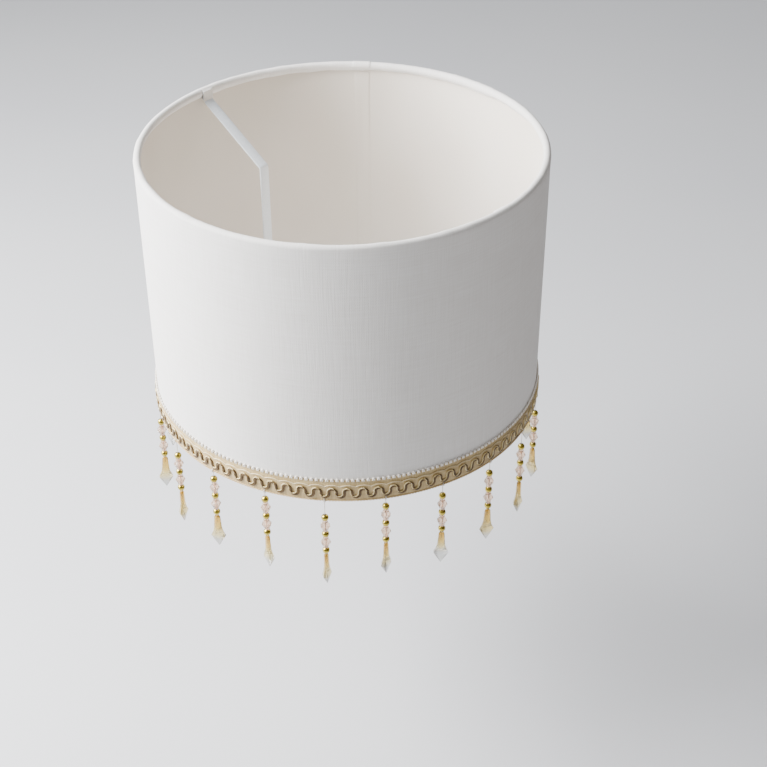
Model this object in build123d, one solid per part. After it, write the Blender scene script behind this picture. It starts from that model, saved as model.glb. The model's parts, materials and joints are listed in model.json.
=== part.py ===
from build123d import *

import os
from math import cos, radians, sin

# Drum lamp shade with a dropped two-arm carrier, a gimp braid and hanging bead strands.
# Millimetres. +Z is up, the origin is the centre of the fitter's bore, and the two arms lie
# along +X and -X.

# Drum
drum_diameter = 250.0  # over the fabric
drum_height = 174.0  # rim to rim, over the rolled edges
fitter_depth = 112.0  # from the top rim down to the middle of the fitter ring
cover_thickness = 0.5  # linen
liner_thickness = 0.4  # stiff sheet that the linen is bonded to
liner_lap_width = 10.0  # where the sheet's two ends overlap
liner_lap_azimuth = 127.5
hem_depth = 4.5  # the linen's turned end, below the middle of the rim wire
glue_line = 0.2  # room left for glue round the rim wires

# Wire frame and carrier
wire_diameter = 3.0  # both rim wires
strip_width = 7.0
strip_thickness = 1.2
strip_bend_radius = 2.5  # to the middle of the strip
weld_depth = 0.15  # how far an arm's tab sinks into the rim wire
tab_drop = 5.6  # from the wire's middle to the bend below it
leg_radius = 70.6  # from the axis to each upright leg
shoulder_drop = 39.6  # from the top rim to the bend above each leg
foot_lap = 3.0  # how far each foot lies on the fitter ring
hem_slit_clearance = 0.6  # each side of the strip, where the hem is slit for it

# Fitter ring, for a lampholder with a 42 mm shade seat
fitter_bore_diameter = 42.0
fitter_rim_width = 6.0
fitter_thickness = 2.0

# Braid along the lower rim
braid_overhang = 0.7  # below the drum
lip_height = 1.5
lip_thickness = 1.2
tape_height = 12.4
tape_thickness = 0.9
picot_height = 4.6
picot_thickness = 0.95
wave_height = 6.6
wave_thickness = 0.8
wave_above_tape_edge = 1.6
trim_gap = 0.05  # glue between one layer of trim and the next

# Bead strands
strand_count = 20
first_azimuth = -126.2
azimuth_wander = 2.2  # hand-sewn, so the spacing isn't quite even
wander_period = 12
strand_inset = 0.1  # of a strand's line, inside the middle of the braid's lip
thread_gap = 0.3  # from the lip down to the point where a thread starts to bend
free_thread = (10.0, 8.5, 3.5, 3.2, 10.2, 3.2, 5.5, 6.0, 9.5, 11.0)  # above the first bead
thread_diameter = 0.5
bead_hole_diameter = 1.0
gold_diameter = 4.6
gold_per_strand = 3
crystal_length = 8.0
crystal_width = 6.2
crystal_end_width = 3.2
crystal_facets = 8
bead_gap = 0.2

# Drops
drop_gap = 0.9  # from the last gold bead to the drop
drop_length = 24.5
drop_top_width = 2.2
drop_neck_width = 5.2
drop_neck_depth = 9.5  # below the drop's top
drop_width = 9.2
drop_width_depth = 16.3
drop_flatness = 0.57  # thickness over width, at the widest place
drop_tip_width = 0.6
drop_hole_depth = 5.0
# how far each drop's flat face is turned from facing outwards, in degrees; the second ten repeat the first
drop_turns = (85.0, -40.0, 27.0, -31.0, 82.0, 50.0, -27.0, -24.0, -2.0, 50.0)
thread_end_gap = 0.1  # each side of a drop's pivot

# Places that follow from the sizes above
cover_outer = drum_diameter / 2
cover_inner = cover_outer - cover_thickness
liner_inner = cover_inner - liner_thickness
wire_circle = liner_inner - wire_diameter / 2
rim_top = fitter_depth
rim_bottom = rim_top - drum_height
hem_inner_face = wire_circle - wire_diameter / 2 - cover_thickness
roll_radius = (cover_outer - hem_inner_face) / 2
roll_circle = cover_outer - roll_radius
top_wire_z = rim_top - roll_radius
bottom_wire_z = rim_bottom + roll_radius
fitter_bore = fitter_bore_diameter / 2
fitter_outer = fitter_bore + fitter_rim_width
lip_bottom = rim_bottom - braid_overhang
trim_inner = cover_outer + trim_gap
strand_circle = trim_inner + lip_thickness / 2 - strand_inset
pivot_z = lip_bottom - thread_gap
bead_pitch = gold_diameter + crystal_length + 2 * bead_gap


def tube(outer, inner, low, high):
    """A plain ring standing on the axis, from low to high."""
    ring = Circle(outer) - Circle(inner)
    return Pos(0, 0, low) * extrude(ring, amount=high - low)


def rim_wire(z):
    """A round wire bent to a hoop and butt-welded."""
    section = Plane.XZ * Pos(wire_circle, z) * Circle(wire_diameter / 2)
    return revolve(section, Axis.Z)


def rolled_rim(wire_z, up):
    """The linen rolled over a rim wire and turned in. up is 1 at the top rim and -1 below."""
    roll = Pos(roll_circle, wire_z) * (Circle(roll_radius) - Circle(roll_radius - cover_thickness))
    beyond = Pos(roll_circle, wire_z - up * roll_radius) * Rectangle(4 * roll_radius, 2 * roll_radius)
    flap_centre = hem_inner_face + cover_thickness / 2
    flap = Pos(flap_centre, wire_z - up * hem_depth / 2) * Rectangle(cover_thickness, hem_depth)
    return (roll - beyond) + flap


def hem_slits():
    """Room in the top hem for the arms' tabs."""
    width = strip_width + 2 * hem_slit_clearance
    top = top_wire_z + wire_diameter / 4 + hem_slit_clearance
    bottom = top_wire_z - hem_depth - 1
    depth = cover_thickness + strip_thickness + hem_slit_clearance
    middle = hem_inner_face + cover_thickness + hem_slit_clearance - depth / 2
    slit = Box(depth, width, top - bottom)
    return [Pos(side * middle, 0, (top + bottom) / 2) * slit for side in (1, -1)]


def fabric_cover():
    """One strip of linen: the wall, with both its long edges rolled over the rim wires."""
    wall_middle = (cover_outer + cover_inner) / 2
    wall = Pos(wall_middle, (top_wire_z + bottom_wire_z) / 2) * Rectangle(
        cover_thickness, top_wire_z - bottom_wire_z
    )
    profile = wall + rolled_rim(top_wire_z, 1) + rolled_rim(bottom_wire_z, -1)
    cover = revolve(Plane.XZ * profile, Axis.Z)
    for slit in hem_slits():
        cover -= slit
    return cover


def liner():
    """The stiff sheet inside the linen, between the wires, with its lap along one side."""
    sheet = tube(cover_inner, liner_inner, bottom_wire_z, top_wire_z)
    lap_low = bottom_wire_z + hem_depth + 1
    lap_high = top_wire_z - hem_depth - 1
    lap_ring = tube(liner_inner, liner_inner - liner_thickness, lap_low, lap_high)
    lap_box = Pos(liner_inner, 0, (lap_low + lap_high) / 2) * Box(
        10 * liner_thickness, liner_lap_width, lap_high - lap_low
    )
    lap = Rot(0, 0, liner_lap_azimuth) * (lap_ring & lap_box)
    return sheet + lap


def carrier_arm():
    """A flat steel strip, bent five times: tab on the rim wire, slope, leg and foot on the ring."""
    tab_radius = wire_circle - wire_diameter / 2 - strip_thickness / 2 + weld_depth
    foot_z = fitter_thickness / 2 + strip_thickness / 2
    line = FilletPolyline(
        (tab_radius, top_wire_z + wire_diameter / 4),
        (tab_radius, top_wire_z - tab_drop),
        (leg_radius, rim_top - shoulder_drop),
        (leg_radius, foot_z),
        (fitter_outer - foot_lap, foot_z),
        radius=strip_bend_radius,
    )
    profile = Plane.XZ * trace(line, strip_thickness)
    return extrude(profile, amount=strip_width / 2, both=True)


def fitter_ring():
    """A flat steel ring, with its outer edges eased."""
    ring = tube(fitter_outer, fitter_bore, -fitter_thickness / 2, fitter_thickness / 2)
    outer_edges = ring.edges().filter_by(GeomType.CIRCLE).group_by(SortBy.RADIUS)[-1]
    return fillet(outer_edges, fitter_thickness / 6)


def braid():
    """The four layers of the gimp, from its lower edge up."""
    tape_low = lip_bottom + lip_height + trim_gap
    tape_high = tape_low + tape_height
    picot_low = tape_high + trim_gap
    wave_inner = trim_inner + tape_thickness + trim_gap
    wave_low = tape_low + wave_above_tape_edge
    return {
        "braid_lip": tube(trim_inner + lip_thickness, trim_inner, lip_bottom, lip_bottom + lip_height),
        "braid_tape": tube(trim_inner + tape_thickness, trim_inner, tape_low, tape_high),
        "braid_picot_edge": tube(
            trim_inner + picot_thickness, trim_inner, picot_low, picot_low + picot_height
        ),
        "braid_wave_cord": tube(
            wave_inner + wave_thickness, wave_inner, wave_low, wave_low + wave_height
        ),
    }


def strand_azimuth(k):
    """Where strand k is sewn on, in degrees from +X."""
    spacing = 360 / strand_count
    return first_azimuth + k * spacing + azimuth_wander * sin(radians(360 * (k + 1) / wander_period))


def around(k, z):
    """The point on strand k's line at height z."""
    angle = radians(strand_azimuth(k))
    return (strand_circle * cos(angle), strand_circle * sin(angle), z)


def strand_pivot(k):
    """Where the whole strand swings, at the lip."""
    return around(k, pivot_z)


def swing_axis(k):
    """Along the rim, so that a positive turn swings the strand outwards."""
    angle = radians(strand_azimuth(k))
    return (sin(angle), -cos(angle), 0)


def drop_face(k):
    """The direction that drop k's flat face looks in, in degrees from +X."""
    return strand_azimuth(k) + drop_turns[k % len(drop_turns)]


def beads_top(k):
    """The height of the first bead's top on strand k."""
    return pivot_z - free_thread[k % len(free_thread)]


def beads_length():
    """From the first bead's top to the last one's foot."""
    return (gold_per_strand - 1) * bead_pitch + gold_diameter


def drop_pivot(k):
    """The middle of the bare thread between the last bead and the drop."""
    return around(k, beads_top(k) - beads_length() - drop_gap / 2)


def drop_axis(k):
    """Across the drop's flat face, so that it swings in its own plane."""
    angle = radians(drop_face(k))
    return (cos(angle), sin(angle), 0)


def facets(width, depth, sides):
    """A faceted outline, flattened to its depth, with a facet facing along +X and along +Y."""
    turn = 180 / sides
    reach = cos(radians(turn))
    corners = [
        (
            depth / 2 / reach * cos(radians(turn + 360 * i / sides)),
            width / 2 / reach * sin(radians(turn + 360 * i / sides)),
        )
        for i in range(sides)
    ]
    return make_face(Polyline(*corners, close=True))


def gold_bead():
    """A round bead, bored for the thread, with its centre at the origin."""
    return Sphere(gold_diameter / 2) - Cylinder(bead_hole_diameter / 2, 2 * gold_diameter)


def crystal_bead():
    """A faceted bead, bored for the thread, with its centre at the origin."""
    end = facets(crystal_end_width, crystal_end_width, crystal_facets)
    middle = facets(crystal_width, crystal_width, crystal_facets)
    half = crystal_length / 2
    body = loft([Pos(0, 0, -half) * end, middle, Pos(0, 0, half) * end], ruled=True)
    return body - Cylinder(bead_hole_diameter / 2, 2 * crystal_length)


def drop():
    """A flat faceted drop with its top at the origin and the end of its thread glued in."""
    thick = drop_width * drop_flatness
    neck_thick = (drop_neck_width + thick) / 2 * drop_neck_width / drop_width
    sections = [
        facets(drop_top_width, drop_top_width, crystal_facets),
        Pos(0, 0, -drop_neck_depth) * facets(drop_neck_width, neck_thick, crystal_facets),
        Pos(0, 0, -drop_width_depth) * facets(drop_width, thick, crystal_facets),
        Pos(0, 0, -drop_length) * facets(drop_tip_width, drop_tip_width, crystal_facets),
    ]
    body = loft(sections, ruled=True)
    hole = Pos(0, 0, -drop_hole_depth / 2) * Cylinder(thread_diameter / 2, drop_hole_depth)
    thread_top = drop_gap / 2 - thread_end_gap
    thread_length = drop_hole_depth + thread_top
    thread = Pos(0, 0, thread_top - thread_length / 2) * Cylinder(thread_diameter / 2, thread_length)
    return [body - hole, thread]


def strand_beads(k):
    """Strand k's thread, gold beads and crystals, as separate solids."""
    x, y, first_top = around(k, beads_top(k))
    first_centre = first_top - gold_diameter / 2
    thread_low = drop_pivot(k)[2] + thread_end_gap
    thread_length = pivot_z - thread_low
    thread = Cylinder(thread_diameter / 2, thread_length)
    solids = [Pos(x, y, (pivot_z + thread_low) / 2) * thread]
    for i in range(gold_per_strand):
        solids.append(Pos(x, y, first_centre - i * bead_pitch) * gold_bead())
    for i in range(gold_per_strand - 1):
        place = Pos(x, y, first_centre - (i + 0.5) * bead_pitch)
        solids.append(place * Rot(0, 0, strand_azimuth(k)) * crystal_bead())
    return solids


def strand_drop(k):
    """Drop k, hanging below its strand with its face turned."""
    x, y, z = drop_pivot(k)
    place = Pos(x, y, z - drop_gap / 2) * Rot(0, 0, drop_face(k))
    return [place * solid for solid in drop()]


def all_nodes():
    """Every sub-part by its name."""
    arm = carrier_arm()
    nodes = {
        "fabric_cover": fabric_cover(),
        "liner": liner(),
        "top_ring": rim_wire(top_wire_z),
        "bottom_ring": rim_wire(bottom_wire_z),
        "carrier_arm_right": arm,
        "carrier_arm_left": Rot(0, 0, 180) * arm,
        "fitter_ring": fitter_ring(),
        **braid(),
    }
    for k in range(strand_count):
        nodes[f"strand_{k + 1:02d}_beads"] = Compound(children=strand_beads(k))
        nodes[f"strand_{k + 1:02d}_drop"] = Compound(children=strand_drop(k))
    return nodes


os.makedirs("parts", exist_ok=True)
for name, shape in all_nodes().items():
    export_step(shape, f"parts/{name}.step")
    print(name, round(shape.volume, 1), "mm3")
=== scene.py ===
# %% [markdown]
# # A drum lamp shade with a gimp braid and bead strands
# The shade is a strip of linen stuck to a stiff sheet and held round by two wire hoops. A braid
# hides the lower edge, and twenty threads of beads hang from it. The fixed model below already
# holds every size and every moving body, so each piece here is built round it, in metres, and
# then rides on the body that it belongs to.

# %% Load the fixed model
import json
import random
from math import atan2, cos, degrees, hypot, pi, radians, sin, tan

import bpy
from mathutils import Matrix, Vector, noise


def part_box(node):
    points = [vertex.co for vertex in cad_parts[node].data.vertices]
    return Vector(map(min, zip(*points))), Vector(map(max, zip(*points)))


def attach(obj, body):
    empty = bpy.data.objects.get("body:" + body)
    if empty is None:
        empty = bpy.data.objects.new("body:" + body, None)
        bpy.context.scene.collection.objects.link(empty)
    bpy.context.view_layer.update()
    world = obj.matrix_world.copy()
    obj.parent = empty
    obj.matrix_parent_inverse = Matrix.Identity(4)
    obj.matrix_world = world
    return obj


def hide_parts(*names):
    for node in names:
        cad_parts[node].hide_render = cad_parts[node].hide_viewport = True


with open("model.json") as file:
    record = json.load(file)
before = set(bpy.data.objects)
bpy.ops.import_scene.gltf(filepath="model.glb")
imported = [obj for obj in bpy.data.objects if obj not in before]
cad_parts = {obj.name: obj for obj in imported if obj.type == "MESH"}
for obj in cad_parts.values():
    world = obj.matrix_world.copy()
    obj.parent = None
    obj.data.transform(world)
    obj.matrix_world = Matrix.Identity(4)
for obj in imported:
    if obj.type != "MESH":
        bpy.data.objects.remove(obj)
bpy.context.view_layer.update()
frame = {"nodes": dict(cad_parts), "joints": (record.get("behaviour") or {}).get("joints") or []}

MM = 0.001  # every size below is in millimetres until it meets Blender
bpy.ops.object.select_all(action="DESELECT")

# %% [markdown]
# The camera stands to the front and looks down into the drum. Blender can aim a camera with a
# Track To constraint, or with angles. Here the three axes are written out from the heading, the
# tilt and a very small roll, because that keeps the numbers a photographer would read off a
# tripod head.

# %% Camera
CAMERA_PLACE = (0.5715, -0.5918, 0.5141)
CAMERA_HEADING = radians(132.334)  # of the line of sight, from +X
CAMERA_TILT = radians(35.136)  # below level
CAMERA_ROLL = radians(-0.281)
CAMERA_LENS = 70.56  # mm, on a sensor 36 mm wide


def aim(heading, tilt, roll):
    """The camera's axes as a matrix: it looks along its own -Z, with +Y up."""
    level = Vector((cos(heading), sin(heading), 0))
    sight = level * cos(tilt) + Vector((0, 0, -sin(tilt)))
    right = level.cross(Vector((0, 0, 1)))
    up = right.cross(sight)
    right_rolled = right * cos(roll) + up * sin(roll)
    up_rolled = up * cos(roll) - right * sin(roll)
    return Matrix((right_rolled, up_rolled, -sight)).transposed().to_4x4()


camera = bpy.data.objects.new("camera", bpy.data.cameras.new("camera"))
camera.data.sensor_width = 36
camera.data.lens = CAMERA_LENS
camera.matrix_world = Matrix.Translation(CAMERA_PLACE) @ aim(CAMERA_HEADING, CAMERA_TILT, CAMERA_ROLL)
bpy.context.scene.collection.objects.link(camera)
bpy.context.scene.camera = camera
print("camera", [round(x, 3) for x in camera.location])

# %% [markdown]
# Every material below is a small tree of shader nodes. Colours are picked as hex values, as on a
# colour card, and a render works in linear light, so one function turns them. A second one adds a
# node with its settings and its links in one line. Patterns on the drum follow its wall: the
# distance round it and the height, both in millimetres.

# %% Helpers for materials


def linear(colour):
    """A colour card's #rrggbb as linear light, with full alpha."""
    shares = [int(colour[i : i + 2], 16) / 255 for i in (1, 3, 5)]
    return tuple(c / 12.92 if c <= 0.04045 else ((c + 0.055) / 1.055) ** 2.4 for c in shares) + (1.0,)


def add_node(tree, kind, inputs=None, **settings):
    """Adds a node. settings are its own fields, and inputs are values or outputs to link."""
    made = tree.nodes.new(kind)
    for field, value in settings.items():
        setattr(made, field, value)
    for socket, value in (inputs or {}).items():
        if isinstance(value, bpy.types.NodeSocket):
            tree.links.new(value, made.inputs[socket])
        else:
            made.inputs[socket].default_value = value
    return made


def new_material(name):
    """An empty node material."""
    material = bpy.data.materials.new(name)
    material.use_nodes = True
    material.node_tree.nodes.clear()
    return material


def finish_material(material, inputs):
    """Adds the surface shader with these sockets, and the output."""
    tree = material.node_tree
    surface = add_node(tree, "ShaderNodeBsdfPrincipled", inputs)
    add_node(tree, "ShaderNodeOutputMaterial", {"Surface": surface.outputs[0]})
    material.diffuse_color = surface.inputs["Base Color"].default_value
    print("material", material.name, len(tree.nodes), "nodes")
    return material


def object_mm(tree, turn=0.0):
    """The place on the object, in millimetres, turned about the axis."""
    place = add_node(tree, "ShaderNodeTexCoord")
    scaled = add_node(
        tree,
        "ShaderNodeMapping",
        {"Vector": place.outputs["Object"], "Rotation": (0, 0, turn), "Scale": (1 / MM, 1 / MM, 1 / MM)},
    )
    return scaled.outputs[0]


def round_the_drum(tree, radius, join_azimuth):
    """(distance round, height, 0) in millimetres, on a drum of this radius."""
    apart = add_node(tree, "ShaderNodeSeparateXYZ", {0: object_mm(tree, pi - radians(join_azimuth))})
    angle = add_node(tree, "ShaderNodeMath", {0: apart.outputs[1], 1: apart.outputs[0]}, operation="ARCTAN2")
    distance = add_node(tree, "ShaderNodeMath", {0: angle.outputs[0], 1: radius}, operation="MULTIPLY")
    return add_node(tree, "ShaderNodeCombineXYZ", {0: distance.outputs[0], 1: apart.outputs[2]}).outputs[0]


def stretched_noise(tree, vector, size, detail=2.0, roughness=0.5):
    """Noise whose blotches are about size millimetres, a size for each axis."""
    scaled = add_node(
        tree, "ShaderNodeMapping", {"Vector": vector, "Scale": tuple(1 / s for s in size)}
    )
    made = add_node(
        tree,
        "ShaderNodeTexNoise",
        {"Vector": scaled.outputs[0], "Scale": 1.0, "Detail": detail, "Roughness": roughness},
    )
    return made.outputs[0]


def ramp(tree, factor, stops):
    """A colour that goes through stops, (share, hex colour), as factor rises."""
    made = add_node(tree, "ShaderNodeValToRGB", {0: factor})
    while len(made.color_ramp.elements) < len(stops):
        made.color_ramp.elements.new(0.5)
    for element, (share, colour) in zip(made.color_ramp.elements, stops):
        element.position = share
        element.color = linear(colour)
    return made.outputs[0]


def bump(tree, height, distance, strength=1.0, over=None):
    """A bump of distance millimetres. over is another bump that it lies on."""
    inputs = {"Height": height, "Distance": distance * MM, "Strength": strength}
    if over is not None:
        inputs["Normal"] = over
    return add_node(tree, "ShaderNodeBump", inputs).outputs[0]


# %% [markdown]
# Every mesh starts as one of Blender's primitives and is then shaped in edit mode, where an
# operator acts on what is selected. The helpers below pick one object, pick vertices or faces by
# a rule, apply a modifier, copy a finished shape into its place, and hand a piece to its body.
# A copy's place goes into its mesh, so that every object stays at the origin.

# %% Helpers for shapes


def only(piece):
    """Leaves piece as the one selected object."""
    for other in bpy.context.selected_objects:
        other.select_set(False)
    piece.select_set(True)
    bpy.context.view_layer.objects.active = piece


def begin(name):
    """Names the primitive that was just added, and opens it in edit mode with all selected."""
    piece = bpy.context.object
    piece.name = name
    piece.data.name = name
    bpy.ops.object.mode_set(mode="EDIT")
    bpy.ops.mesh.select_mode(type="VERT")
    bpy.ops.mesh.select_all(action="SELECT")
    return piece


def pick(piece, kind, rule):
    """In edit mode, selects the vertices, edges or faces that the rule is true for."""
    bpy.ops.mesh.select_mode(type={"vertices": "VERT", "edges": "EDGE", "polygons": "FACE"}[kind])
    bpy.ops.mesh.select_all(action="DESELECT")
    bpy.ops.object.mode_set(mode="OBJECT")
    chosen = [item for item in getattr(piece.data, kind) if rule(item)]
    for item in chosen:
        item.select = True
    bpy.ops.object.mode_set(mode="EDIT")
    return len(chosen)


def close_up(piece):
    """Merges doubles, turns the normals outwards and leaves edit mode, with the place in the mesh."""
    bpy.ops.mesh.select_all(action="SELECT")
    bpy.ops.mesh.remove_doubles(threshold=0.002 * MM)
    bpy.ops.mesh.normals_make_consistent(inside=False)
    bpy.ops.object.mode_set(mode="OBJECT")
    piece.data.transform(piece.matrix_basis)
    piece.matrix_basis = Matrix.Identity(4)
    return piece


def shape_with(piece, kind, **settings):
    """Adds a modifier and applies it."""
    only(piece)
    made = piece.modifiers.new("shaping", kind)
    for field, value in settings.items():
        setattr(made, field, value)
    bpy.ops.object.modifier_apply(modifier=made.name)
    return piece


def move_points(piece, rule):
    """Moves every vertex to the place that the rule gives for it."""
    for vertex in piece.data.vertices:
        vertex.co = rule(vertex.co)
    piece.data.update()
    return piece


def copy_to(original, name, place):
    """A copy with a mesh of its own, and its place in that mesh."""
    mesh = original.data.copy()
    mesh.transform(place)
    made = bpy.data.objects.new(name, mesh)
    bpy.context.scene.collection.objects.link(made)
    return made


def join(pieces, name):
    """Several objects as one."""
    only(pieces[0])
    for piece in pieces[1:]:
        piece.select_set(True)
    bpy.ops.object.join()
    pieces[0].name = name
    pieces[0].data.name = name
    return pieces[0]


def remove(piece):
    """Deletes a shape that was only there to be copied."""
    bpy.data.objects.remove(piece)


def place_piece(piece, body, material=None, stands_for=(), smooth=35):
    """Gives a finished piece its shading, its finish and its body."""
    if material is not None:
        piece.data.materials.clear()
        piece.data.materials.append(material)
    if piece.type == "MESH":
        only(piece)
        bpy.ops.object.shade_smooth_by_angle(angle=radians(smooth))
    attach(piece, body)
    if stands_for:
        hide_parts(*stands_for)
    return piece


def report(piece):
    """Prints a piece's size and its triangles."""
    size = [round(x / MM, 1) for x in piece.dimensions]
    print(piece.name, size, "mm,", sum(len(p.vertices) - 2 for p in piece.data.polygons), "triangles")


# %% [markdown]
# ## The bead strands
# A strand is a fine nylon thread with a gold bead, a cut crystal, a gold bead, a crystal and a
# gold bead on it, and a long drop at its end. It was sewn to the braid's lip, so it can swing
# there, and the drop can swing on the bare thread above it. The fixed model has a joint at each of
# those two places, and every bead's height is counted up from the lower one.

# %% Places along a strand
STRANDS = 20
GOLD_BEAD = 4.6
CRYSTAL_LENGTH = 8.0
CRYSTAL_WIDTH = 6.2
CRYSTAL_END = 3.2
BEAD_GAP = 0.2
BEAD_HOLE = 1.0
THREAD = 0.5
DROP_GAP = 0.9  # bare thread between the last bead and the drop
THREAD_END_GAP = 0.1  # each side of the drop's pivot
BEAD_PITCH = GOLD_BEAD + CRYSTAL_LENGTH + 2 * BEAD_GAP
joints = {joint["name"]: joint for joint in frame["joints"]}


def strand_joints(number):
    """A strand's own joint and its drop's joint: their places, and the way that the drop faces."""
    swing = joints[f"strand_{number:02d}_swing"]
    drop = joints[f"drop_{number:02d}_swing"]
    face = atan2(drop["axis"][1], drop["axis"][0])
    return Vector(swing["pos_m"]), Vector(drop["pos_m"]), face


for number in (1, STRANDS):
    print("strand", number, [round(x / MM, 1) for x in strand_joints(number)[0]])

# %% [markdown]
# A round bead is a sphere with a hole drilled through it. A boolean cut could drill it, and would
# leave ragged long faces. Taking away the two poles and bridging the open rims gives the same hole
# with clean faces. The bead is moulded acrylic under a metal film: bright gold, with faint swirls
# from tumbling in the plating drum.

# %% Gold bead shape
bpy.ops.mesh.primitive_uv_sphere_add(segments=20, ring_count=12, radius=GOLD_BEAD / 2 * MM)
gold_bead = begin("gold_bead")
pick(gold_bead, "vertices", lambda v: hypot(v.co.x, v.co.y) < BEAD_HOLE / 4 * MM)
bpy.ops.mesh.delete(type="VERT")
bpy.ops.mesh.select_mode(type="EDGE")
bpy.ops.mesh.select_non_manifold()
bpy.ops.mesh.bridge_edge_loops()
close_up(gold_bead)
report(gold_bead)

# %% Metallised gold acrylic
gold_acrylic = new_material("metallised_gold_acrylic")
tree = gold_acrylic.node_tree
swirl = stretched_noise(tree, object_mm(tree), (1.1, 1.1, 1.1), detail=3.0)
gold_acrylic = finish_material(
    gold_acrylic,
    {
        "Base Color": ramp(tree, swirl, [(0.3, "#948129"), (0.7, "#cfbb5c")]),
        "Metallic": 1.0,
        "Roughness": add_node(
            tree, "ShaderNodeMapRange", {0: swirl, 3: 0.08, 4: 0.22}
        ).outputs[0],
        "Normal": bump(tree, swirl, 0.03),
    },
)

# %% [markdown]
# A crystal bead is a double cone with flat cuts, widest at its middle. It starts as an eight-sided
# cylinder for the girdle. Each end is drawn out twice, narrower each time and turned by half a
# side, and the twisted sides are split into triangles, so that the cuts of neighbouring rows
# interlock as they do on a real cut bead. The ends are inset to the hole, opened and bridged.

# %% Crystal bead shape
CRYSTAL_SIDES = 8
GIRDLE = 0.7  # height of the widest row of cuts
CROWN = 1.7  # height of the row beside it
CROWN_SHARE = 0.68  # its width over the girdle's
half_side = pi / CRYSTAL_SIDES
corner = 1 / cos(half_side)  # a corner's distance over a flat side's

bpy.ops.mesh.primitive_cylinder_add(
    vertices=CRYSTAL_SIDES, radius=CRYSTAL_WIDTH / 2 * MM, depth=GIRDLE * MM, end_fill_type="NGON"
)
crystal = begin("crystal")
end_height = CRYSTAL_LENGTH / 2 - GIRDLE / 2 - CROWN
end_share = CRYSTAL_END / (CRYSTAL_WIDTH * CROWN_SHARE)
for side in (1, -1):
    pick(crystal, "polygons", lambda p: p.normal.z * side > 0.9)
    for height, share in ((CROWN, CROWN_SHARE), (end_height, end_share)):
        bpy.ops.mesh.extrude_region_move(TRANSFORM_OT_translate={"value": (0, 0, side * height * MM)})
        bpy.ops.transform.resize(value=(share, share, 1), center_override=(0, 0, 0))
        bpy.ops.transform.rotate(value=half_side, orient_axis="Z", center_override=(0, 0, 0))
    bpy.ops.mesh.inset(thickness=(CRYSTAL_END / 2 / corner - BEAD_HOLE / 2) * MM)
    bpy.ops.mesh.delete(type="ONLY_FACE")
pick(crystal, "polygons", lambda p: abs(p.normal.z) < 0.95)
bpy.ops.mesh.quads_convert_to_tris(quad_method="SHORTEST_DIAGONAL")
bpy.ops.mesh.select_mode(type="EDGE")
bpy.ops.mesh.select_all(action="DESELECT")
bpy.ops.mesh.select_non_manifold()
bpy.ops.mesh.bridge_edge_loops()
close_up(crystal)
report(crystal)

# %% Clear cut acrylic
# Acrylic bends light less than glass does, and this one has a breath of peach in it.
clear_acrylic = finish_material(
    new_material("clear_cut_acrylic"),
    {
        "Base Color": linear("#f9ddc6"),
        "Roughness": 0.05,
        "IOR": 1.46,
        "Transmission Weight": 0.82,
    },
)

# %% [markdown]
# The drop is a flat spade on a long stem, cut with flat faces. It starts as an eight-sided disc
# and is drawn downwards section by section, each with its own width and thickness. The thread's
# hole goes five millimetres into the top, with the glued end of the thread in it. Its colour is in
# the acrylic, amber at the stem and fading to nothing at the spade, and has to run down the drop
# wherever that hangs, so the depth below the drop's top is stored in the mesh.

# %% Drop shape
DROP_LENGTH = 24.5
DROP_HOLE = 0.56
DROP_HOLE_DEPTH = 5.0
DROP_SECTIONS = (  # depth below the top, width, thickness
    (0.0, 2.2, 2.2),
    (1.2, 3.7, 2.7),
    (9.5, 4.9, 3.0),
    (12.6, 6.1, 3.7),
    (16.3, 9.2, 5.2),
    (24.5, 0.6, 0.6),
)


def resize_section(width, thickness, old_width, old_thickness):
    """Scales the selected ring to its new width, along Y, and thickness, along X."""
    share = (thickness / old_thickness, width / old_width, 1)
    bpy.ops.transform.resize(value=share, center_override=(0, 0, 0))


bpy.ops.mesh.primitive_circle_add(vertices=8, radius=corner * MM, fill_type="NGON")
drop = begin("drop")
bpy.ops.transform.rotate(value=half_side, orient_axis="Z", center_override=(0, 0, 0))
resize_section(DROP_SECTIONS[0][1], DROP_SECTIONS[0][2], 2, 2)
bpy.ops.mesh.flip_normals()
for above, below in zip(DROP_SECTIONS, DROP_SECTIONS[1:]):
    fall = (above[0] - below[0]) * MM
    bpy.ops.mesh.extrude_region_move(TRANSFORM_OT_translate={"value": (0, 0, fall)})
    resize_section(below[1], below[2], above[1], above[2])
bpy.ops.mesh.select_mode(type="EDGE")
bpy.ops.mesh.select_all(action="DESELECT")
bpy.ops.mesh.select_non_manifold()
bpy.ops.mesh.edge_face_add()
bpy.ops.mesh.select_mode(type="FACE")
bpy.ops.mesh.inset(thickness=(DROP_SECTIONS[0][1] / 2 - DROP_HOLE / 2) * MM)
bpy.ops.mesh.extrude_region_move(TRANSFORM_OT_translate={"value": (0, 0, -DROP_HOLE_DEPTH * MM)})
close_up(drop)
shape_with(drop, "BEVEL", width=0.09 * MM, segments=1, limit_method="ANGLE", angle_limit=radians(12))
depth_below = drop.data.attributes.new("depth_below", "FLOAT", "POINT")
depth_below.data.foreach_set("value", [-v.co.z / MM for v in drop.data.vertices])
report(drop)

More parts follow.
